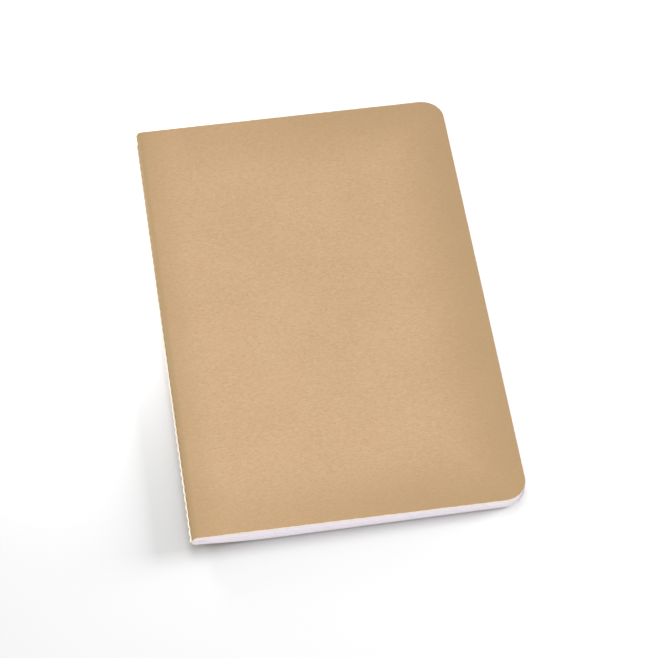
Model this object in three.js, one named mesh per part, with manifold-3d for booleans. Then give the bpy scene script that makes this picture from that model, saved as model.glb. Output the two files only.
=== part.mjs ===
// Pocket notebook: a folded kraft card cover round sixteen folded sheets, sewn through the fold.
// It lies closed on its back cover, with the spine on -X, the head on +Y and the fore-edge on +X.
// Every sheet is one piece of paper. Here it is two leaves and the half-round fold between them,
// so that each leaf can turn about the axis of the folds. Lengths are in millimetres.
import * as THREE from "three";
import { mergeVertices } from "three/addons/utils/BufferGeometryUtils.js";
import Module from "manifold-3d";

const wasm = await Module();
wasm.setup();

// Overall size
const CLOSED_WIDTH = 90; // kraft card at the spine to the fore-edge
const PAGE_HEIGHT = 140; // head to tail
const CORNER_RADIUS = 6.5; // rounded corners of the fore-edge, cut through card and paper alike

// Card and paper
const CARD_THICKNESS = 0.3;
const PAPER_THICKNESS = 0.075;
const SHEETS = 16;
const LEAVES = 2 * SHEETS;

// The folds lie round one axis, and sewing presses them tight
const BLOCK_FOLD_RADIUS = 1.45; // outside of the folded sheets
const INNER_FOLD_RADIUS = 0.2; // middle of the innermost sheet's paper
const COVER_FOLD_RADIUS = BLOCK_FOLD_RADIUS + CARD_THICKNESS;
const FOLD_AXIS_HEIGHT = 3.6;
const FOLD_TILT = THREE.MathUtils.degToRad(-5.5); // the way the closed block points away from the fold
const FOLD_STEPS = 8; // flats round a half-round fold
const LEAF_GAP = 0.06; // from the end of a fold to its leaf, so that the leaf can turn
const COVER_LEG = 1; // flat card on each side of the cover's fold, before the cover's panels
const COVER_GAP = 0.02;

// The closed block is thickest near the spine: the front cover stays straight and the back cover bows
const FORE_EDGE_TOP = 3.6; // top of the front cover at the fore-edge
const REST_START = 25; // from here to the fore-edge, counted from the spine, the back cover rests flat
const RISE_POWER = 2.2; // how the back cover rises to the spine
const RISE_STEPS = 5;
const TRIM_ALLOWANCE = 1; // paper beyond the fore-edge before it is trimmed

// Sewing thread
const STITCH_PITCH = 2.65;
const THREAD_RADIUS = 0.21; // at a stitch's crown
const THREAD_NECK_RADIUS = 0.13; // where it dips into a needle hole
const THREAD_PROUD = 0.45; // how far the thread stands off the card at the spine
const HEAD_MARGIN = 3.2; // bare fold before the first stitch
const TAIL_MARGIN = 0.6;
const INNER_THREAD_RADIUS = 0.12; // the thread of the centre fold
const THREAD_SIDES = 6;

// The box of the whole notebook is centred on X and Y and stands on Z = 0
const SPINE_X = THREAD_PROUD - (CLOSED_WIDTH + THREAD_PROUD) / 2;
const FORE_EDGE_X = SPINE_X + CLOSED_WIDTH;
const FOLD_AXIS = new THREE.Vector2(SPINE_X + COVER_FOLD_RADIUS, FOLD_AXIS_HEIGHT);
const REST_START_X = SPINE_X + REST_START;

const kraftCard = () => new THREE.MeshStandardMaterial({ color: 0xcbaa7f, roughness: 0.9, metalness: 0 });
const paper = () => new THREE.MeshStandardMaterial({ color: 0xf1eef0, roughness: 0.85, metalness: 0 });
const thread = () => new THREE.MeshStandardMaterial({ color: 0xefe4cf, roughness: 0.8, metalness: 0 });

const notebook = new THREE.Group();
const twoDigits = (number) => String(number).padStart(2, "0");

function addPiece(name, geometry, material) {
  const piece = new THREE.Mesh(geometry, material);
  piece.name = name;
  notebook.add(piece);
}

// A point at a distance from the fold axis along the tilted upright: positive is on the front side.
// "along" is how far it lies from that upright towards the fore-edge.
function besideFold(distance, along = 0) {
  const cos = Math.cos(FOLD_TILT);
  const sin = Math.sin(FOLD_TILT);
  return new THREE.Vector2(
    FOLD_AXIS.x - sin * distance + cos * along,
    FOLD_AXIS.y + cos * distance + sin * along,
  );
}

// Top of the front cover: a straight line from its fold to the fore-edge
const coverTopStart = besideFold(COVER_FOLD_RADIUS);
function topHeight(x) {
  const share = (x - coverTopStart.x) / (FORE_EDGE_X - coverTopStart.x);
  return THREE.MathUtils.lerp(coverTopStart.y, FORE_EDGE_TOP, share);
}

// Underside of the back cover: down from its fold, then flat on the table
const coverUnderStart = besideFold(-COVER_FOLD_RADIUS);
function undersideHeight(x) {
  if (x < REST_START_X) {
    const left = (REST_START_X - x) / (REST_START_X - coverUnderStart.x);
    return coverUnderStart.y * left ** RISE_POWER;
  }
  return 0;
}

// Middle of a leaf, counted from the front cover, where it has left the fold
function leafHeight(leaf, x) {
  const blockTop = topHeight(x) - CARD_THICKNESS;
  const blockBottom = undersideHeight(x) + CARD_THICKNESS;
  return THREE.MathUtils.lerp(blockTop, blockBottom, (leaf - 0.5) / LEAVES);
}

// Middle of a sheet's fold, counted from the outermost sheet
function foldRadius(sheet) {
  const outermost = BLOCK_FOLD_RADIUS - (BLOCK_FOLD_RADIUS - INNER_FOLD_RADIUS) / (2 * SHEETS - 1);
  return THREE.MathUtils.lerp(outermost, INNER_FOLD_RADIUS, (sheet - 1) / (SHEETS - 1));
}

// Where the outlines of panels have their corners, from the fold to beyond the fore-edge
const stations = [];
for (let step = 1; step <= RISE_STEPS; step += 1) {
  stations.push(THREE.MathUtils.lerp(FOLD_AXIS.x, REST_START_X, step / RISE_STEPS));
}
stations.push(FORE_EDGE_X + TRIM_ALLOWANCE);

// Both sides of a panel of one thickness, seen from the tail, as a closed outline
function panelShape(start, thickness, heightAt) {
  const upper = [start(thickness / 2)];
  const lower = [start(-thickness / 2)];
  for (const x of stations) {
    upper.push(new THREE.Vector2(x, heightAt(x) + thickness / 2));
    lower.push(new THREE.Vector2(x, heightAt(x) - thickness / 2));
  }
  return new THREE.Shape([...lower, ...upper.reverse()]);
}

// An outline drawn in X and Z, run from head to tail
function headToTail(shape) {
  const geometry = new THREE.ExtrudeGeometry(shape, { depth: PAGE_HEIGHT, bevelEnabled: false });
  geometry.rotateX(Math.PI / 2);
  geometry.translate(0, PAGE_HEIGHT / 2, 0);
  return geometry;
}

function toSolid(geometry) {
  const bare = geometry.clone();
  bare.deleteAttribute("normal");
  bare.deleteAttribute("uv");
  const merged = mergeVertices(bare, 1e-4);
  return new wasm.Manifold(
    new wasm.Mesh({
      numProp: 3,
      vertProperties: merged.attributes.position.array,
      triVerts: new Uint32Array(merged.index.array),
    }),
  );
}

function toGeometry(solid) {
  const mesh = solid.getMesh();
  const geometry = new THREE.BufferGeometry();
  geometry.setAttribute("position", new THREE.BufferAttribute(mesh.vertProperties, 3));
  geometry.setIndex(new THREE.BufferAttribute(mesh.triVerts, 1));
  geometry.computeVertexNormals();
  return geometry;
}

// The trimmed outline of the closed notebook, as a block that is taller than the notebook
function trimmedOutline() {
  const left = SPINE_X - TRIM_ALLOWANCE;
  const half = PAGE_HEIGHT / 2;
  const inner = FORE_EDGE_X - CORNER_RADIUS;
  const outline = new THREE.Shape();
  outline.moveTo(left, -half);
  outline.lineTo(inner, -half);
  outline.absarc(inner, -half + CORNER_RADIUS, CORNER_RADIUS, -Math.PI / 2, 0, false);
  outline.absarc(inner, half - CORNER_RADIUS, CORNER_RADIUS, 0, Math.PI / 2, false);
  outline.lineTo(left, half);
  outline.closePath();
  const above = FOLD_AXIS_HEIGHT + COVER_FOLD_RADIUS + TRIM_ALLOWANCE;
  const depth = above + TRIM_ALLOWANCE;
  const geometry = new THREE.ExtrudeGeometry(outline, { depth, bevelEnabled: false, curveSegments: 8 });
  geometry.translate(0, 0, -TRIM_ALLOWANCE);
  return toSolid(geometry);
}
const outlineBlock = trimmedOutline();

function trimmedPanel(shape) {
  return toGeometry(toSolid(headToTail(shape)).intersect(outlineBlock));
}

// A half-round strip round the fold axis, with an optional flat leg at each end
function foldShape(middleRadius, thickness, legs = []) {
  const outside = middleRadius + thickness / 2;
  const inside = middleRadius - thickness / 2;
  const arc = (radius) =>
    Array.from({ length: FOLD_STEPS + 1 }, (_, step) => {
      const angle = FOLD_TILT + Math.PI / 2 + (Math.PI * step) / FOLD_STEPS;
      return new THREE.Vector2(Math.cos(angle), Math.sin(angle)).multiplyScalar(radius).add(FOLD_AXIS);
    });
  const [frontLeg, backLeg] = legs;
  const outer = arc(outside);
  const inner = arc(inside).reverse();
  if (frontLeg) {
    outer.unshift(frontLeg.outer);
    inner.push(frontLeg.inner);
  }
  if (backLeg) {
    outer.push(backLeg.outer);
    inner.unshift(backLeg.inner);
  }
  return new THREE.Shape([...outer, ...inner]);
}

function buildCovers() {
  const cardMiddle = COVER_FOLD_RADIUS - CARD_THICKNESS / 2;
  const frontMiddle = (x) => topHeight(x) - CARD_THICKNESS / 2;
  const backMiddle = (x) => undersideHeight(x) + CARD_THICKNESS / 2;
  const coverStart = (heightAt) => (offset) => {
    const x = FOLD_AXIS.x + COVER_LEG + COVER_GAP;
    return new THREE.Vector2(x, heightAt(x) + offset);
  };
  addPiece(
    "front_cover",
    trimmedPanel(panelShape(coverStart(frontMiddle), CARD_THICKNESS, frontMiddle)),
    kraftCard(),
  );
  addPiece(
    "back_cover",
    trimmedPanel(panelShape(coverStart(backMiddle), CARD_THICKNESS, backMiddle)),
    kraftCard(),
  );
  const legX = FOLD_AXIS.x + COVER_LEG;
  const legEnd = (heightAt, outward) => ({
    outer: new THREE.Vector2(legX, heightAt(legX) + (outward * CARD_THICKNESS) / 2),
    inner: new THREE.Vector2(legX, heightAt(legX) - (outward * CARD_THICKNESS) / 2),
  });
  const legs = [legEnd(frontMiddle, 1), legEnd(backMiddle, -1)];
  addPiece("cover_spine", headToTail(foldShape(cardMiddle, CARD_THICKNESS, legs)), kraftCard());
}

// Leaf 1 lies under the front cover. Leaf n and leaf 33 - n are the two halves of sheet n.
function buildSheets() {
  for (let leaf = 1; leaf <= LEAVES; leaf += 1) {
    const onFront = leaf <= SHEETS;
    const radius = foldRadius(onFront ? leaf : LEAVES + 1 - leaf);
    const start = (offset) => besideFold((onFront ? radius : -radius) + offset, LEAF_GAP);
    const shape = panelShape(start, PAPER_THICKNESS, (x) => leafHeight(leaf, x));
    addPiece(`leaf_${twoDigits(leaf)}`, trimmedPanel(shape), paper());
  }
  for (let sheet = 1; sheet <= SHEETS; sheet += 1) {
    const shape = foldShape(foldRadius(sheet), PAPER_THICKNESS);
    addPiece(`sheet_${twoDigits(sheet)}_fold`, headToTail(shape), paper());
  }
}

// The outer thread: one crown for each stitch, with a neck at every needle hole
function spineThread() {
  const first = PAGE_HEIGHT / 2 - HEAD_MARGIN;
  const last = TAIL_MARGIN - PAGE_HEIGHT / 2;
  const stitches = Math.floor((first - last) / STITCH_PITCH);
  const profile = [new THREE.Vector2(0, first - stitches * STITCH_PITCH)];
  for (let half = 2 * stitches; half >= 0; half -= 1) {
    const radius = half % 2 ? THREAD_RADIUS : THREAD_NECK_RADIUS;
    profile.push(new THREE.Vector2(radius, first - (half * STITCH_PITCH) / 2));
  }
  profile.push(new THREE.Vector2(0, first));
  const geometry = new THREE.LatheGeometry(profile, THREAD_SIDES);
  geometry.translate(SPINE_X - THREAD_PROUD + THREAD_RADIUS, 0, FOLD_AXIS_HEIGHT);
  return geometry;
}

// The inner thread lies straight in the centre fold
function centreThread() {
  const length = PAGE_HEIGHT - HEAD_MARGIN - TAIL_MARGIN;
  const geometry = new THREE.CylinderGeometry(
    INNER_THREAD_RADIUS, INNER_THREAD_RADIUS, length, THREAD_SIDES,
  );
  geometry.translate(FOLD_AXIS.x, (TAIL_MARGIN - HEAD_MARGIN) / 2, FOLD_AXIS.y);
  return geometry;
}

buildCovers();
buildSheets();
addPiece("spine_thread", spineThread(), thread());
addPiece("centre_thread", centreThread(), thread());

export default notebook;
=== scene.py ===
import math
import random

import bpy
from mathutils import Matrix, Vector


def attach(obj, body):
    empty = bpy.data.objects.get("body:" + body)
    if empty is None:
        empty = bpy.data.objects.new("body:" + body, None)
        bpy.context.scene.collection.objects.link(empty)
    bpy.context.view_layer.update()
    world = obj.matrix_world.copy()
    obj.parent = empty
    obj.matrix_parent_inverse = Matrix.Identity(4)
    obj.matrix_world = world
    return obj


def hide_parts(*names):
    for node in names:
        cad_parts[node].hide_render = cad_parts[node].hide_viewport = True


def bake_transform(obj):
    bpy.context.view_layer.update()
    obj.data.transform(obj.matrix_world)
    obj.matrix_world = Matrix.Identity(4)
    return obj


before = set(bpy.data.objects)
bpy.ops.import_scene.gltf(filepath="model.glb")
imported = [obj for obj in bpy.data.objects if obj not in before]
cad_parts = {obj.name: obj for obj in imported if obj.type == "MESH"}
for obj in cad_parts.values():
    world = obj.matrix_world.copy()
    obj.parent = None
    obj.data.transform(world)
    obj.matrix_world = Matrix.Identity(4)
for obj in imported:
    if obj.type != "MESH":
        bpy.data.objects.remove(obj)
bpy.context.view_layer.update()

SEED = 16
MM = 0.001

# ---------------------------------------------------------------- sizes, in millimetres
SPINE_X = -44.775
FORE_EDGE_X = 45.225
PAGE_HEIGHT = 140.0
CORNER_RADIUS = 6.5
CARD = 0.3
PAPER = 0.075
PAPER_SHARE = 0.9  # of the room that a leaf has in the block
SHEETS = 16
LEAVES = 2 * SHEETS
BLOCK_FOLD_RADIUS = 1.45
INNER_FOLD_RADIUS = 0.2
COVER_FOLD_RADIUS = BLOCK_FOLD_RADIUS + CARD
CARD_MIDDLE_RADIUS = COVER_FOLD_RADIUS - CARD / 2
AXIS_X = SPINE_X + COVER_FOLD_RADIUS
AXIS_Z = 3.6
FOLD_TILT = math.radians(-5.5)
FORE_EDGE_TOP = 3.6
REST_START_X = SPINE_X + 25.0  # from here to the fore-edge the back cover lies flat
RISE_POWER = 2.2
STITCH_PITCH = 2.65
HEAD_MARGIN = 3.2
TAIL_MARGIN = 0.6
BACK_INSET = 0.6  # the back cover ends a little short of the pages at the tail
LAST_LEAVES_INSET = {LEAVES: 0.36, LEAVES - 1: 0.24, LEAVES - 2: 0.1}
CARD_BEVEL = 0.05
PAPER_BEVEL = 0.012
THREAD_RADIUS = 0.23
THREAD_PROUD = 0.45
CENTRE_THREAD_RADIUS = 0.115

# ---------------------------------------------------------------- how bright things are
LIGHT_LEVEL = 1.375  # how bright this light shows a perfectly white flat surface
WORLD_STRENGTH = 0.62
FLOOR_ALBEDO = 0.80


# ---------------------------------------------------------------- the shape of the closed block
def mix(a, b, share):
    return a + (b - a) * share


def ease(value):
    value = min(max(value, 0.0), 1.0)
    return value * value * (3 - 2 * value)


def beside_fold(distance):
    """Where a flat sheet starts: above the fold's axis, or below it if the distance is negative."""
    return AXIS_X - math.sin(FOLD_TILT) * distance, AXIS_Z + math.cos(FOLD_TILT) * distance


TOP_START = beside_fold(COVER_FOLD_RADIUS)
UNDER_START = beside_fold(-COVER_FOLD_RADIUS)


def top_height(x):
    return mix(TOP_START[1], FORE_EDGE_TOP, (x - TOP_START[0]) / (FORE_EDGE_X - TOP_START[0]))


def underside_height(x):
    if x < REST_START_X:
        left = (REST_START_X - x) / (REST_START_X - UNDER_START[0])
        return UNDER_START[1] * left**RISE_POWER
    return 0.0


def leaf_room(x):
    """The height that each leaf has in the block at x."""
    return (top_height(x) - underside_height(x) - 2 * CARD) / LEAVES


def leaf_height(leaf, x):
    """The middle of a leaf at x, where the block has taken its full shape."""
    return mix(top_height(x) - CARD, underside_height(x) + CARD, (leaf - 0.5) / LEAVES)


def fold_radius(sheet):
    outermost = BLOCK_FOLD_RADIUS - (BLOCK_FOLD_RADIUS - INNER_FOLD_RADIUS) / (LEAVES - 1)
    return mix(outermost, INNER_FOLD_RADIUS, (sheet - 1) / (SHEETS - 1))


def half_height(x, fore_edge=FORE_EDGE_X):
    """Half the height of the page at x: less where the corners of the fore-edge are round."""
    into = x - (fore_edge - CORNER_RADIUS)
    if into <= 0:
        return PAGE_HEIGHT / 2
    return PAGE_HEIGHT / 2 - CORNER_RADIUS + math.sqrt(max(CORNER_RADIUS**2 - into**2, 0.0))


FOLD_STATIONS = (0.0, 0.25, 0.5, 0.75, 1.0, 1.3, 1.6, 2.0, 2.5, 3.2, 4.2, 5.5, 7.0, 9.0)


def panel_stations(fore_edge, start_x, flat_steps=16, corner_steps=12):
    """Where a panel's rows lie in x: close together at the fold and round the corners."""
    xs = [start_x + distance for distance in FOLD_STATIONS]
    inner = fore_edge - CORNER_RADIUS
    first = xs[-1]
    xs += [mix(first, inner, k / flat_steps) for k in range(1, flat_steps + 1)]
    for k in range(1, corner_steps + 1):
        xs.append(inner + CORNER_RADIUS * math.sin(math.pi / 2 * k / corner_steps))
    return xs


def arc_points(radius, first, last, steps):
    """Points round the fold axis between two angles measured from the tilted upright."""
    points = []
    for k in range(steps + 1):
        angle = FOLD_TILT + mix(first, last, k / steps)
        points.append((AXIS_X + radius * math.cos(angle), AXIS_Z + radius * math.sin(angle)))
    return points


# ---------------------------------------------------------------- meshes
SHARP_ANGLE = math.radians(38)


def normals_of(points):
    """A unit normal at each point of a profile that runs towards +X on the front side."""
    out = []
    for i in range(len(points)):
        a = points[max(i - 1, 0)]
        b = points[min(i + 1, len(points) - 1)]
        dx, dz = b[0] - a[0], b[1] - a[1]
        length = math.hypot(dx, dz)
        out.append((-dz / length, dx / length))
    return out


def smooth_mesh(name, vertices, faces, places, materials):
    """A shaded-smooth mesh that keeps each point's place on its own sheet or thread."""
    mesh = bpy.data.meshes.new(name)
    mesh.from_pydata(vertices, [], faces)
    mesh.polygons.foreach_set("use_smooth", [True] * len(faces))
    attribute = mesh.attributes.new("sheet_place", "FLOAT_VECTOR", "POINT")
    attribute.data.foreach_set("vector", [value for place in places for value in place])
    for material in materials:
        mesh.materials.append(material)
    return mesh


def linked_object(name, data):
    obj = bpy.data.objects.new(name, data)
    bpy.context.scene.collection.objects.link(obj)
    return obj


def sheet_mesh(name, points, thickness, spans, columns, bevel, runs, materials, dent=None, ripple=None):
    """A sheet of one thickness along a profile.

    points: (x, z) of its middle; thickness and spans: one number and one (tail, head) at each point;
    columns: places from -1 (tail) to 1 (head); runs: distance along the unrolled sheet, from the nose;
    materials: the one for its two flat sides and the one for its cut edges.
    """
    normals = normals_of(points)
    count = len(columns)
    vertices, places = [], []
    for i, (x, z) in enumerate(points):
        nx, nz = normals[i]
        tail, head = spans[i]
        middle, half = (tail + head) / 2, (head - tail) / 2
        t = thickness[i] / 2
        b = min(bevel, t * 0.6)
        ring = [(middle + c * (half - b), t) for c in columns]
        ring += [(head, t - b), (head, b - t)]
        ring += [(middle + c * (half - b), -t) for c in reversed(columns)]
        ring += [(tail, b - t), (tail, t - b)]
        for y, out in ring:
            shift = out
            if dent:
                shift += dent(i, y)
            if ripple:
                shift += ripple(x, y)
            vertices.append(((x + nx * shift) * MM, y * MM, (z + nz * shift) * MM))
            places.append((runs[i], y, out))
    size = 2 * count + 4
    faces, kinds = [], []
    for i in range(len(points) - 1):
        for k in range(size):
            n = (k + 1) % size
            faces.append((i * size + k, (i + 1) * size + k, (i + 1) * size + n, i * size + n))
            flat = k < count - 1 or count + 2 <= k < 2 * count + 1
            kinds.append(0 if flat else 1)
    for i, flip in ((0, False), (len(points) - 1, True)):
        base = i * size
        caps = []
        for k in range(count - 1):
            caps.append((base + k, base + k + 1, base + 2 * count - k, base + 2 * count + 1 - k))
        caps.append((base + count - 1, base + count, base + count + 1, base + count + 2))
        caps.append((base + 2 * count + 1, base + 2 * count + 2, base + 2 * count + 3, base))
        for face in caps:
            faces.append(tuple(reversed(face)) if flip else face)
            kinds.append(1)
    mesh = smooth_mesh(name, vertices, faces, places, materials)
    mesh.polygons.foreach_set("material_index", kinds)
    mesh.update()
    mesh.validate()
    mesh.set_sharp_from_angle(angle=SHARP_ANGLE)
    return linked_object(name, mesh)


def run_along(points, start=0.0):
    """Distance along a profile from its first point."""
    runs = [start]
    for a, b in zip(points, points[1:]):
        runs.append(runs[-1] + math.dist(a, b))
    return runs


def even(count):
    """Evenly spaced columns from tail to head."""
    return [mix(-1.0, 1.0, k / (count - 1)) for k in range(count)]


def bend_lower(obj):
    """Bakes the object's transform into its mesh: used for the back cover and the lower half of each fold."""
    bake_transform(obj)


def bend_upper(obj):
    """Bakes the object's transform into its mesh: used for the cover's spine and each front leaf with its
    upper fold.
    """
    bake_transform(obj)


# ---------------------------------------------------------------- materials
class Nodes:
    """A material's node tree, with short names for the nodes that are used here."""

    def __init__(self, name, roughness):
        self.material = bpy.data.materials.new(name)
        self.material.use_nodes = True
        self.tree = self.material.node_tree
        self.shader = self.tree.nodes["Principled BSDF"]
        self.shader.inputs["Roughness"].default_value = roughness
        self.shader.inputs["Specular IOR Level"].default_value = 0.35

    def add(self, kind, **settings):
        node = self.tree.nodes.new(kind)
        for key, value in settings.items():
            setattr(node, key, value)
        return node

    def put(self, socket, value):
        if hasattr(value, "links"):
            self.tree.links.new(value, socket)
        else:
            socket.default_value = value

    def math(self, operation, *values):
        node = self.add("ShaderNodeMath", operation=operation)
        for socket, value in zip(node.inputs, values):
            self.put(socket, value)
        return node.outputs[0]

    def place(self):
        """Distance along the unrolled sheet, from tail to head and through it, in millimetres."""
        node = self.add("ShaderNodeAttribute", attribute_name="sheet_place")
        return node.outputs["Vector"]

    def parts(self, vector):
        node = self.add("ShaderNodeSeparateXYZ")
        self.put(node.inputs[0], vector)
        return node.outputs

    def scaled(self, vector, scale):
        node = self.add("ShaderNodeVectorMath", operation="MULTIPLY")
        self.put(node.inputs[0], vector)
        node.inputs[1].default_value = scale
        return node.outputs[0]

    def noise(self, vector, scale, detail=3.0, roughness=0.55):
        node = self.add("ShaderNodeTexNoise")
        self.put(node.inputs["Vector"], vector)
        node.inputs["Scale"].default_value = scale
        node.inputs["Detail"].default_value = detail
        node.inputs["Roughness"].default_value = roughness
        return node.outputs["Fac"]

    def ramp(self, value, low, high, to_low=0.0, to_high=1.0):
        node = self.add("ShaderNodeMapRange", clamp=True, interpolation_type="SMOOTHSTEP")
        self.put(node.inputs["Value"], value)
        limits = {"From Min": low, "From Max": high, "To Min": to_low, "To Max": to_high}
        for key, number in limits.items():
            self.put(node.inputs[key], number)
        return node.outputs["Result"]

    def blend(self, share, first, second):
        node = self.add("ShaderNodeMix", data_type="RGBA", blend_type="MIX", clamp_factor=True)
        self.put(node.inputs[0], share)
        self.put(node.inputs[6], first)
        self.put(node.inputs[7], second)
        return node.outputs[2]

    def bump(self, height, strength, distance, before=None):
        node = self.add("ShaderNodeBump")
        node.inputs["Strength"].default_value = strength
        node.inputs["Distance"].default_value = distance
        self.put(node.inputs["Height"], height)
        if before is not None:
            self.put(node.inputs["Normal"], before)
        return node.outputs["Normal"]


def colour(red, green, blue, level=LIGHT_LEVEL):
    """A linear colour from the way it looks on screen in this light, 0 to 255."""
    shares = [value / 255 for value in (red, green, blue)]
    linear = [share / 12.92 if share <= 0.04045 else ((share + 0.055) / 1.055) ** 2.4 for share in shares]
    return (*(value / level for value in linear), 1.0)


def edge_distance(n, place):
    """How far a point of the cover is from its cut edges, in millimetres."""
    x, y, _ = n.parts(place)
    side = math.pi / 2 * CARD_MIDDLE_RADIUS + FORE_EDGE_X - AXIS_X - CORNER_RADIUS
    across = n.math("SUBTRACT", n.math("ABSOLUTE", x), side)
    up = n.math("SUBTRACT", n.math("ABSOLUTE", y), PAGE_HEIGHT / 2 - CORNER_RADIUS)
    outer = n.math(
        "SQRT",
        n.math(
            "ADD",
            n.math("POWER", n.math("MAXIMUM", across, 0.0), 2.0),
            n.math("POWER", n.math("MAXIMUM", up, 0.0), 2.0),
        ),
    )
    inner = n.math("MINIMUM", n.math("MAXIMUM", across, up), 0.0)
    return n.math("SUBTRACT", CORNER_RADIUS, n.math("ADD", outer, inner))


def kraft_material(name="kraft_card", cut_edge=False):
    n = Nodes(name, 0.82)
    place = n.place()
    run, up, _ = n.parts(place)
    cloud = n.noise(place, 0.045, 3.0, 0.5)
    mottle = n.noise(n.scaled(place, (0.8, 1.5, 1.0)), 0.9, 4.0, 0.6)
    grain = n.noise(n.scaled(place, (0.55, 3.0, 1.0)), 2.3, 5.0, 0.7)
    fibre = n.noise(n.scaled(place, (0.35, 4.5, 1.0)), 1.7, 4.0, 0.65)
    speck = n.noise(place, 3.4, 2.0, 0.5)
    tone = n.blend(n.ramp(cloud, 0.3, 0.7), KRAFT_DEEP, KRAFT_LIGHT)
    tone = n.blend(n.ramp(mottle, 0.35, 0.68, 0.0, 0.6), tone, KRAFT_PALE)
    tone = n.blend(n.ramp(grain, 0.46, 0.68, 0.0, 0.88), tone, KRAFT_BROWN)
    tone = n.blend(n.ramp(fibre, 0.56, 0.68, 0.0, 0.65), tone, KRAFT_FIBRE)
    tone = n.blend(n.ramp(speck, 0.68, 0.76, 0.0, 0.5), tone, KRAFT_SPECK)
    bump_height = n.math("ADD", n.math("MULTIPLY", grain, 0.6), n.math("MULTIPLY", fibre, 0.5))
    if cut_edge:
        tone = n.blend(0.9, tone, KRAFT_CUT)
    else:
        # Painted shade: darker towards the edges, and more so near the front cover's fore-edge, where the
        # light falls off.
        edge = edge_distance(n, place)
        lean = n.math("SUBTRACT", n.math("MULTIPLY", run, 2.0), n.math("MULTIPLY", up, 0.2))
        near_edge_shade = n.ramp(edge, 0.0, 24.0, 1.0, 0.0)
        painted_edge_shade = n.math("MULTIPLY", near_edge_shade, n.ramp(lean, -20.0, 180.0, 0.28, 0.68))
        tone = n.blend(painted_edge_shade, tone, KRAFT_PAINTED_SHADE)
        # The very rim is rubbed pale, unevenly.
        rub = n.math("ADD", edge, n.math("MULTIPLY", mottle, -1.0))
        tone = n.blend(n.ramp(rub, -0.55, -0.25, 0.35, 0.0), tone, KRAFT_CUT)
        # Painted shade: darker towards the fold, most of all where the card turns round its nose, away from
        # the light. Worn patches on the nose.
        spine = n.math("ABSOLUTE", run)
        tone = n.blend(n.ramp(spine, 1.5, 12.0, 0.45, 0.0), tone, KRAFT_PAINTED_SHADE)
        tone = n.blend(n.ramp(spine, 1.7, 2.8, 0.6, 0.0), tone, KRAFT_FOLD_PAINTED_SHADE)
        worn = n.math("MULTIPLY", n.ramp(spine, 0.4, 2.2, 1.0, 0.0), n.ramp(mottle, 0.5, 0.75))
        tone = n.blend(n.math("MULTIPLY", worn, 0.3), tone, KRAFT_PALE)
    n.put(n.shader.inputs["Base Color"], tone)
    n.put(n.shader.inputs["Roughness"], n.ramp(mottle, 0.2, 0.8, 0.76, 0.9))
    normal = n.bump(bump_height, 0.35, 0.00005)
    normal = n.bump(mottle, 0.25, 0.00012, normal)
    n.put(n.shader.inputs["Normal"], normal)
    return n.material


def paper_material(name, tone, edge=False):
    n = Nodes(name, 0.78)
    place = n.place()
    fibres = n.noise(n.scaled(place, (1.0, 1.6, 1.0)), 2.6, 4.0, 0.6)
    cloud = n.noise(place, 0.12, 3.0, 0.5)
    if edge:
        cut = n.noise(n.scaled(place, (0.5, 6.0, 6.0)), 3.0, 3.0, 0.6)
        shade = n.blend(n.ramp(cut, 0.4, 0.7, 0.0, 0.15), tone, PAPER_GREY)
    else:
        shade = n.blend(n.ramp(cloud, 0.3, 0.7, 0.0, 0.45), tone, PAPER_WARM)
        shade = n.blend(n.ramp(fibres, 0.45, 0.75, 0.0, 0.25), shade, PAPER_GREY)
    n.put(n.shader.inputs["Base Color"], shade)
    n.put(n.shader.inputs["Roughness"], n.ramp(fibres, 0.2, 0.8, 0.72, 0.86))
    n.put(n.shader.inputs["Normal"], n.bump(fibres, 0.2, 0.00002))
    return n.material


def thread_material():
    n = Nodes("thread", 0.7)
    place = n.place()
    along, around, _ = n.parts(place)
    winding = n.math("ADD", n.math("MULTIPLY", along, 24.0), n.math("MULTIPLY", around, 9.0))
    strands = n.math("SINE", winding)
    fuzz = n.noise(n.scaled(place, (6.0, 3.0, 1.0)), 1.0, 3.0, 0.6)
    tone = n.blend(n.ramp(strands, -1.0, 1.0, 0.0, 0.35), THREAD_LIGHT, THREAD_DEEP)
    tone = n.blend(n.ramp(fuzz, 0.45, 0.7, 0.0, 0.4), tone, THREAD_DEEP)
    n.put(n.shader.inputs["Base Color"], tone)
    n.put(n.shader.inputs["Normal"], n.bump(strands, 0.4, 0.00003))
    return n.material


KRAFT_LIGHT = colour(212, 176, 135)
KRAFT_DEEP = colour(206, 170, 129)
KRAFT_PALE = colour(219, 185, 145)
KRAFT_BROWN = colour(187, 150, 108)
KRAFT_FIBRE = colour(228, 196, 157)
KRAFT_SPECK = colour(160, 123, 82)
# Painted shade: the kraft's colour towards its edges and towards its fold, where the light falls off.
KRAFT_PAINTED_SHADE = colour(184, 152, 110)
# Painted shade: the kraft's colour on the fold's nose, where the card turns away from the light.
KRAFT_FOLD_PAINTED_SHADE = colour(178, 150, 108)
KRAFT_CUT = colour(255, 243, 225, 1.04)
PAPER_WHITE = colour(240, 236, 238)
PAPER_COOL = colour(238, 235, 239)
PAPER_WARM = colour(243, 238, 236)
PAPER_GREY = colour(228, 224, 228)
EDGE_WHITE = colour(253, 244, 251, 0.97)
EDGE_COOL = colour(251, 242, 251, 0.97)
THREAD_LIGHT = colour(252, 243, 228, 1.02)
THREAD_DEEP = colour(232, 214, 188, 1.1)

KRAFT = kraft_material()
KRAFT_CUT_EDGE = kraft_material("kraft_card_cut_edge", cut_edge=True)
PAGES = [paper_material("paper", PAPER_WHITE), paper_material("paper_cool", PAPER_COOL)]
PAGE_EDGES = [
    paper_material("paper_cut_edge", EDGE_WHITE, edge=True),
    paper_material("paper_cut_edge_cool", EDGE_COOL, edge=True),
]
THREAD = thread_material()

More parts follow.
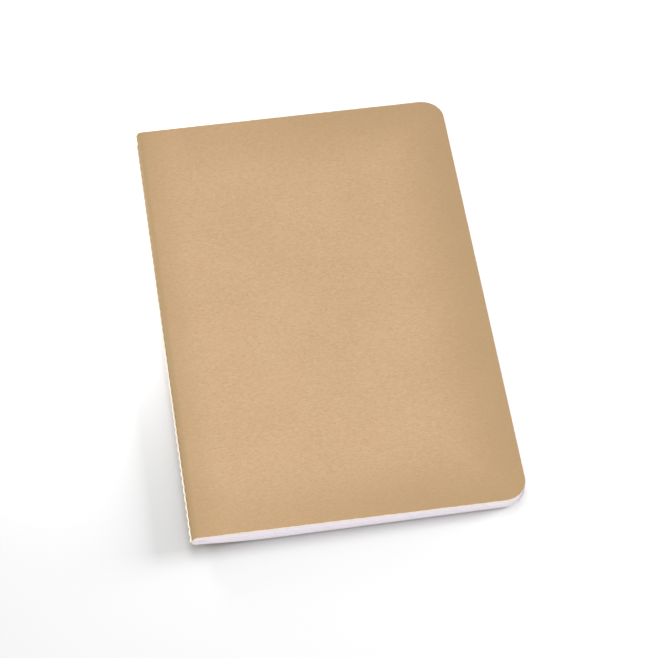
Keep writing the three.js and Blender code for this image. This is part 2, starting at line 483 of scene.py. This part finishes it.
# ---------------------------------------------------------------- the cover
HOLES = [
    PAGE_HEIGHT / 2 - HEAD_MARGIN - k * STITCH_PITCH
    for k in range(int((PAGE_HEIGHT - HEAD_MARGIN - TAIL_MARGIN) / STITCH_PITCH) + 1)
]
UPRIGHT = math.pi / 2
NOSE = math.pi
BOTTOM = 3 * math.pi / 2
CARD_ARC_STEPS = 12
DENT_DEPTH = 0.09
DENT_LENGTH = 0.4
DENT_TURN = 0.42  # radians round the fold
FULL_SPAN = (-PAGE_HEIGHT / 2, PAGE_HEIGHT / 2)


def spine_columns():
    """Columns that meet every needle hole, and three between each pair."""
    half = PAGE_HEIGHT / 2
    ys = [-half]
    for a, b in zip(reversed(HOLES), list(reversed(HOLES))[1:]):
        ys += [mix(a, b, k / 4) for k in range(4)]
    ys += [HOLES[0], half - 2.0, half - 1.0, half]
    return [y / half for y in ys]


def needle_dents(points):
    """The card is drawn in a little round every needle hole."""

    def dent(i, y):
        x, z = points[i]
        if x > AXIS_X:
            return 0.0
        turn = abs(abs(math.atan2(z - AXIS_Z, x - AXIS_X)) - math.pi)
        near = min(abs(y - hole) for hole in HOLES)
        return DENT_DEPTH * math.exp(-((near / DENT_LENGTH) ** 2)) * math.exp(-((turn / DENT_TURN) ** 2))

    return dent


def card_ripple(x, y):
    """The card isn't quite flat."""
    if x < AXIS_X:
        return 0.0
    grow = ease((x - AXIS_X) / 12.0)
    broad = math.sin(x * 0.13 + 0.7) * math.sin(y * 0.09 + 1.1)
    fine = 0.5 * math.sin(y * 0.21 + x * 0.05)
    return grow * 0.012 * (broad + fine)


def cover_spans(points):
    return [(-half_height(x), half_height(x)) for x, _ in points]


def back_cover_spans(points):
    """As for the front cover, but the tail is cut short beyond the fold."""
    spans = []
    for (x, _), (tail, head) in zip(points, cover_spans(points)):
        spans.append((tail + BACK_INSET * ease((x - AXIS_X + 1.5) / 1.5), head))
    return spans


def build_back_cover():
    arc = arc_points(CARD_MIDDLE_RADIUS, NOSE, BOTTOM, CARD_ARC_STEPS)
    xs = panel_stations(FORE_EDGE_X, arc[-1][0])
    flat = [(x, underside_height(x) + CARD / 2) for x in xs[1:]]
    points = arc + flat
    obj = sheet_mesh(
        "back_cover",
        points,
        [CARD] * len(points),
        back_cover_spans(points),
        spine_columns(),
        CARD_BEVEL,
        [-run for run in run_along(points)],
        [KRAFT, KRAFT_CUT_EDGE],
        dent=needle_dents(points),
    )
    bend_lower(obj)
    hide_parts("back_cover", "cover_spine")


def build_cover_spine():
    points = list(reversed(arc_points(CARD_MIDDLE_RADIUS, UPRIGHT, NOSE, CARD_ARC_STEPS)))
    dents = needle_dents(points)
    obj = sheet_mesh(
        "cover_spine",
        points,
        [CARD] * len(points),
        [FULL_SPAN] * len(points),
        spine_columns(),
        CARD_BEVEL,
        run_along(points),
        [KRAFT, KRAFT_CUT_EDGE],
        dent=lambda i, y: -dents(i, y),
    )
    bend_upper(obj)
    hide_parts("cover_spine")


def build_front_cover():
    start = beside_fold(CARD_MIDDLE_RADIUS)
    xs = panel_stations(FORE_EDGE_X, start[0])
    points = [start] + [(x, top_height(x) - CARD / 2) for x in xs[1:]]
    obj = sheet_mesh(
        "front_cover",
        points,
        [CARD] * len(points),
        cover_spans(points),
        even(57),
        CARD_BEVEL,
        run_along(points, math.pi / 2 * CARD_MIDDLE_RADIUS),
        [KRAFT, KRAFT_CUT_EDGE],
        ripple=card_ripple,
    )
    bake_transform(obj)
    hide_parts("front_cover")


# ---------------------------------------------------------------- the sheets
LEAF_COLUMNS = even(15)
PAPER_ARC_STEPS = 8


def build_sheets():
    dice = random.Random(SEED)
    for leaf in range(1, LEAVES + 1):
        on_front = leaf <= SHEETS
        sheet = leaf if on_front else LEAVES + 1 - leaf
        radius = fold_radius(sheet)
        start = beside_fold(radius if on_front else -radius)
        fore_edge = FORE_EDGE_X - 0.05 + dice.uniform(-0.05, 0.04)
        tail = -PAGE_HEIGHT / 2 + 0.03 + dice.uniform(-0.04, 0.05)
        head = PAGE_HEIGHT / 2 - 0.03 + dice.uniform(-0.05, 0.04)
        tail += LAST_LEAVES_INSET.get(leaf, 0.0)
        lift = dice.uniform(-0.2, 0.2)
        xs = panel_stations(fore_edge, start[0])
        gap = start[1] - leaf_height(leaf, start[0])
        flat, thickness = [start], [PAPER]
        for x in xs[1:]:
            settle = 1 - ease((x - start[0]) / 4.6)
            room = leaf_room(x)
            spare = room * (1 - PAPER_SHARE)
            grow = ease((x - start[0]) / 4.0)
            thickness.append(mix(PAPER, room * PAPER_SHARE, grow))
            flat.append((x, leaf_height(leaf, x) + gap * settle + grow * lift * spare))
        spans = []
        for x, _ in flat:
            short = half_height(x, fore_edge) - PAGE_HEIGHT / 2
            spans.append((tail - short, head + short))
        name = f"leaf_{leaf:02d}"
        shade = dice.randrange(2)
        materials = [PAGES[shade], PAGE_EDGES[shade]]
        if on_front:
            arc = list(reversed(arc_points(radius, UPRIGHT, NOSE, PAPER_ARC_STEPS)))
            points = arc + flat[1:]
            thickness = [PAPER] * (len(arc) - 1) + thickness
            spans = [(tail, head)] * (len(arc) - 1) + spans
        else:
            points = flat
        runs = run_along(points)
        obj = sheet_mesh(name, points, thickness, spans, LEAF_COLUMNS, PAPER_BEVEL, runs, materials)
        if on_front:
            bend_upper(obj)
            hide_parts(name, f"sheet_{sheet:02d}_fold")
        else:
            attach(obj, name)
            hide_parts(name)
        if on_front:
            build_lower_fold(sheet, radius, (tail, head), materials)


def build_lower_fold(sheet, radius, span, materials):
    """The half of a sheet's fold between its nose and its back leaf."""
    points = arc_points(radius, NOSE, BOTTOM, PAPER_ARC_STEPS)
    count = len(points)
    obj = sheet_mesh(
        f"sheet_{sheet:02d}_fold",
        points,
        [PAPER] * count,
        [span] * count,
        LEAF_COLUMNS,
        PAPER_BEVEL,
        run_along(points),
        materials,
    )
    bend_lower(obj)
    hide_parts(f"sheet_{sheet:02d}_fold")


# ---------------------------------------------------------------- the sewing thread
def thread_mesh(name, path, radii, twist, sides=18, plies=3):
    """A twisted thread along a path of (x, y, z) points, with a radius at each of them."""
    vertices, places, faces = [], [], []
    up = Vector((0, 0, 1))
    length = 0.0
    for i, point in enumerate(path):
        before, after = path[max(i - 1, 0)], path[min(i + 1, len(path) - 1)]
        if i:
            length += math.dist(point, path[i - 1])
        forward = (Vector(after) - Vector(before)).normalized()
        side = forward.cross(up).normalized()
        for k in range(sides):
            angle = 2 * math.pi * k / sides
            lobe = 1 + 0.13 * math.cos(plies * (angle - twist * length))
            out = (side * math.cos(angle) + up * math.sin(angle)) * radii[i] * lobe
            vertices.append((Vector(point) + out) * MM)
            places.append((length, angle, 0.0))
    for i in range(len(path) - 1):
        for k in range(sides):
            n = (k + 1) % sides
            faces.append((i * sides + k, (i + 1) * sides + k, (i + 1) * sides + n, i * sides + n))
    faces.append(tuple(range(sides)))
    faces.append(tuple(reversed(range((len(path) - 1) * sides, len(path) * sides))))
    mesh = smooth_mesh(name, vertices, faces, places, [THREAD])
    mesh.update()
    mesh.validate()
    obj = linked_object(name, mesh)
    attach(obj, "spine")
    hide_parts(name)


def stitches(hole_x, crown_x, neck, crown, last_y, steps=12):
    """The path and the radii of a row of stitches that dip into the needle holes, and of its cut end."""
    dice = random.Random(SEED + 1)
    path, radii = [], []
    for number, (head, tail) in enumerate(zip(HOLES, HOLES[1:])):
        bow = dice.uniform(0.9, 1.0)
        lean = dice.uniform(-0.035, 0.035)
        size = dice.uniform(0.93, 1.05)
        for k in range(steps):
            share = k / steps
            arch = max(math.sin(math.pi * share), 0.0)
            x = mix(hole_x, crown_x, bow * arch**0.5)
            path.append((x, mix(head, tail, share), AXIS_Z + lean * arch))
            radii.append(mix(neck, crown * size, arch**0.75))
    for share in (0.0, 0.12, 0.3, 0.55, 0.8, 1.0):
        x = mix(hole_x, crown_x, math.sin(math.pi / 2 * share) ** 0.5)
        path.append((x, mix(HOLES[-1], last_y, share), AXIS_Z))
        radii.append(mix(neck, crown, min(share * 3, 1.0)))
    return path, radii


def build_threads():
    crown_x = SPINE_X - THREAD_PROUD + THREAD_RADIUS
    path, radii = stitches(SPINE_X + 0.08, crown_x, 0.14, THREAD_RADIUS, -PAGE_HEIGHT / 2 + 0.15)
    thread_mesh("spine_thread", path, radii, twist=5.5)
    path, radii = stitches(AXIS_X - 0.12, AXIS_X + 0.03, 0.07, CENTRE_THREAD_RADIUS, HOLES[-1] - 0.8)
    thread_mesh("centre_thread", path, radii, twist=8.0)


# ---------------------------------------------------------------- floor, light and camera
def build_floor():
    mesh = bpy.data.meshes.new("floor")
    size = 3.0
    corners = [(-size, -size, 0), (size, -size, 0), (size, size, 0), (-size, size, 0)]
    mesh.from_pydata(corners, [], [(0, 1, 2, 3)])
    material = bpy.data.materials.new("floor")
    material.use_nodes = True
    shader = material.node_tree.nodes["Principled BSDF"]
    shader.inputs["Base Color"].default_value = (FLOOR_ALBEDO, FLOOR_ALBEDO, FLOOR_ALBEDO, 1.0)
    shader.inputs["Roughness"].default_value = 1.0
    shader.inputs["Specular IOR Level"].default_value = 0.0
    mesh.materials.append(material)
    floor = linked_object("floor", mesh)
    floor.location.z = -0.00002  # just clear of the underside
    return floor


def build_world():
    world = bpy.data.worlds.new("studio")
    bpy.context.scene.world = world
    world.use_nodes = True
    background = world.node_tree.nodes["Background"]
    background.inputs["Color"].default_value = (1.0, 1.0, 1.0, 1.0)
    background.inputs["Strength"].default_value = WORLD_STRENGTH


def add_light(name, place, aim, width, height, power, only=None, never=None):
    """A soft light that can be kept to one object (only) or off it (never)."""
    light = bpy.data.lights.new(name, "AREA")
    light.shape = "RECTANGLE"
    light.size, light.size_y = width, height
    light.energy = power
    obj = linked_object(name, light)
    obj.location = place
    obj.rotation_mode = "QUATERNION"
    obj.rotation_quaternion = (Vector(aim) - Vector(place)).to_track_quat("-Z", "Y")
    obj.visible_camera = False
    if only or never:
        chosen = bpy.data.collections.new(name + "_chosen")
        chosen.objects.link(only or never)
        obj.light_linking.receiver_collection = chosen
        if never:
            chosen.collection_objects[0].light_linking.link_state = "EXCLUDE"


def build_lights(floor):
    """Soft light from overhead and from the tail, a low light from the fore-edge's side and a small strip.

    The low light and the strip light only the floor: one draws the shadow and the other thins it at the head.
    """
    middle = (0.0, 0.0, 0.0)
    add_light("top_light", (0.05, 0.45, 1.00), middle, 0.6, 0.6, 3.4)
    add_light("fill_light", (-0.18, -0.22, 0.62), (0.0, -0.02, 0.0), 0.4, 0.3, 2.9, never=floor)
    add_light("side_light", (1.06, 0.12, 0.31), middle, 0.50, 0.46, 18.5, only=floor)
    strip_place, strip_aim = (-0.095, 0.078, 0.035), (-0.055, 0.078, 0.0)
    add_light("strip_light", strip_place, strip_aim, 0.14, 0.02, 0.15, only=floor)


def build_camera():
    """Looks down on the notebook from the tail, a little from the spine's side."""
    azimuth, elevation, roll = (math.radians(angle) for angle in (-7.29, 54.27, -1.35))
    flat = math.cos(elevation)
    back = Vector((math.sin(azimuth) * flat, -math.cos(azimuth) * flat, math.sin(elevation)))
    right = Vector((0, 0, 1)).cross(back).normalized()
    up = back.cross(right)
    right, up = (
        right * math.cos(roll) + up * math.sin(roll),
        up * math.cos(roll) - right * math.sin(roll),
    )
    data = bpy.data.cameras.new("camera")
    data.sensor_width = 36.0
    data.lens = 147.8
    data.clip_start, data.clip_end = 0.01, 20.0
    camera = linked_object("camera", data)
    matrix = Matrix((right, up, back)).transposed().to_4x4()
    matrix.translation = Vector((-0.0546, -0.4405, 0.6107))
    camera.matrix_world = matrix
    bpy.context.scene.camera = camera


build_camera()
build_back_cover()
build_cover_spine()
build_front_cover()
build_sheets()
build_threads()
floor = build_floor()
build_world()
build_lights(floor)

scene = bpy.context.scene
scene.view_settings.view_transform = "Standard"
scene.view_settings.look = "None"
scene.view_settings.exposure = 0.0
scene.view_settings.gamma = 1.0

bpy.context.view_layer.update()
